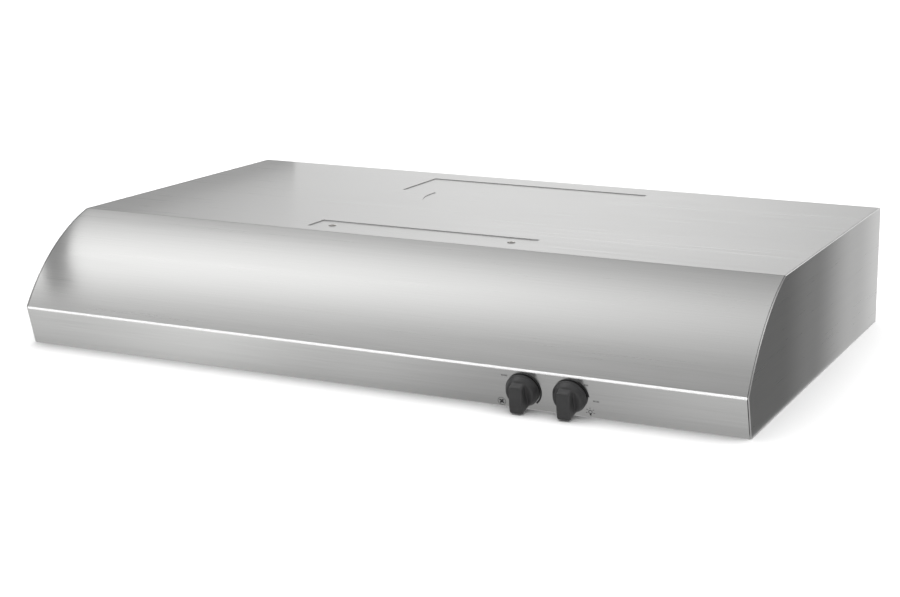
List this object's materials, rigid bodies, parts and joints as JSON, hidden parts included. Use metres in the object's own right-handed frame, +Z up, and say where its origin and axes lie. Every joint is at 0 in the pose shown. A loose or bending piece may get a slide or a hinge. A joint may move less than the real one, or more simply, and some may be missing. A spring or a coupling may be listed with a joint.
{
  "type": "under-cabinet range hood",
  "caption": "Shallow stainless under-cabinet range hood with a curved front, rotary fan and light knobs, swing-down grease filters, lamps and a centrifugal blower.",
  "frame": {"origin": "centre of the hood's bounding box in X and Y, at the bottom rim's plane in Z", "axes": "+X to the right as seen from the front, +Y towards the wall behind the hood, +Z up"},
  "size_m": [0.759, 0.4918, 0.124],
  "materials": {
    "stainless_sheet": "horizontally brushed stainless steel",
    "stainless_front": "horizontally brushed stainless steel, finely grained",
    "plated_steel": "bright zinc-plated sheet steel",
    "plated_screws": "nickel-plated steel",
    "black_screws": "black oxide steel",
    "motor_steel": "grey enamelled motor steel",
    "bronze": "sintered bronze",
    "magnet": "moulded ferrite magnet",
    "wheel_plastic": "moulded dark plastic",
    "white_plastic": "moulded white plastic",
    "aluminium_frame": "mill-finish roll-formed aluminium",
    "aluminium_mesh": "expanded aluminium mesh",
    "lamp_glass": "frosted glass",
    "lamp_bulb": "coated reflector lamp",
    "socket_ceramic": "glazed ceramic",
    "knob_plastic": "satin black moulded plastic",
    "switch_plastic": "brown phenolic moulding",
    "cable_jacket": "black vinyl jacket",
    "entry_rubber": "black moulded bushing"
  },
  "bodies": {
    "hood": {"canopy_top_and_back": "stainless_sheet", "left_side_panel": "stainless_sheet", "right_side_panel": "stainless_sheet", "front_skin": "stainless_front", "control_fascia": "stainless_front", "front_pan": "stainless_sheet", "rear_filter_rail": "plated_steel", "centre_filter_rail": "plated_steel", "left_filter_rail": "plated_steel", "right_filter_rail": "plated_steel", "filter_magnets": "magnet", "pan_screws": "plated_screws", "blower_screws": "plated_screws", "blower_plate": "plated_steel", "left_scroll": "plated_steel", "right_scroll": "plated_steel", "left_inlet_ring": "plated_steel", "right_inlet_ring": "plated_steel", "discharge_box": "plated_steel", "motor_can": "motor_steel", "motor_end_cap": "motor_steel", "motor_bushes": "bronze", "motor_bracket": "plated_steel", "motor_capacitor": "white_plastic", "capacitor_clip": "plated_steel", "left_lamp_can": "plated_steel", "left_lamp_trim": "stainless_sheet", "left_lamp_lens": "lamp_glass", "left_lamp_bulb": "lamp_bulb", "left_lamp_socket": "socket_ceramic", "right_lamp_can": "plated_steel", "right_lamp_trim": "stainless_sheet", "right_lamp_lens": "lamp_glass", "right_lamp_bulb": "lamp_bulb", "right_lamp_socket": "socket_ceramic", "fan_switch": "switch_plastic", "fan_switch_nut": "plated_steel", "light_switch": "switch_plastic", "light_switch_nut": "plated_steel", "wiring_box": "plated_steel", "wiring_box_cover": "plated_steel", "wiring_box_screws": "plated_screws", "cable_entry_bushing": "entry_rubber", "switch_harness": "cable_jacket", "lamp_harness": "cable_jacket", "motor_harness": "cable_jacket"},
    "blower_rotor": {"left_blower_wheel": "wheel_plastic", "right_blower_wheel": "wheel_plastic", "wheel_clamp_screws": "black_screws", "motor_shaft": "plated_steel"},
    "left_filter": {"left_filter_frame": "aluminium_frame", "left_filter_mesh": "aluminium_mesh", "left_filter_pull": "plated_steel"},
    "right_filter": {"right_filter_frame": "aluminium_frame", "right_filter_mesh": "aluminium_mesh", "right_filter_pull": "plated_steel"},
    "fan_control": {"fan_knob": "knob_plastic", "fan_switch_shaft": "plated_steel"},
    "light_control": {"light_knob": "knob_plastic", "light_switch_shaft": "plated_steel"}
  },
  "joints": [
    {"name": "blower_spin", "type": "hinge", "parent": "hood", "child": "blower_rotor", "pos_m": [0, -0.03207, 0.07], "axis": [1, 0, 0], "continuous": true},
    {"name": "left_filter_swing", "type": "hinge", "parent": "hood", "child": "left_filter", "pos_m": [-0.18225, 0.22193, 0.0165], "axis": [1, 0, 0], "range_deg": [0, 85]},
    {"name": "right_filter_swing", "type": "hinge", "parent": "hood", "child": "right_filter", "pos_m": [0.18225, 0.22193, 0.0165], "axis": [1, 0, 0], "range_deg": [0, 85]},
    {"name": "fan_knob_turn", "type": "hinge", "parent": "hood", "child": "fan_control", "pos_m": [0.17, -0.22287, 0.01975], "axis": [0, -0.9568, -0.2907], "range_deg": [0, 225]},
    {"name": "light_knob_turn", "type": "hinge", "parent": "hood", "child": "light_control", "pos_m": [0.2155, -0.22287, 0.01975], "axis": [0, -0.9568, -0.2907], "range_deg": [0, 150]}
  ]
}
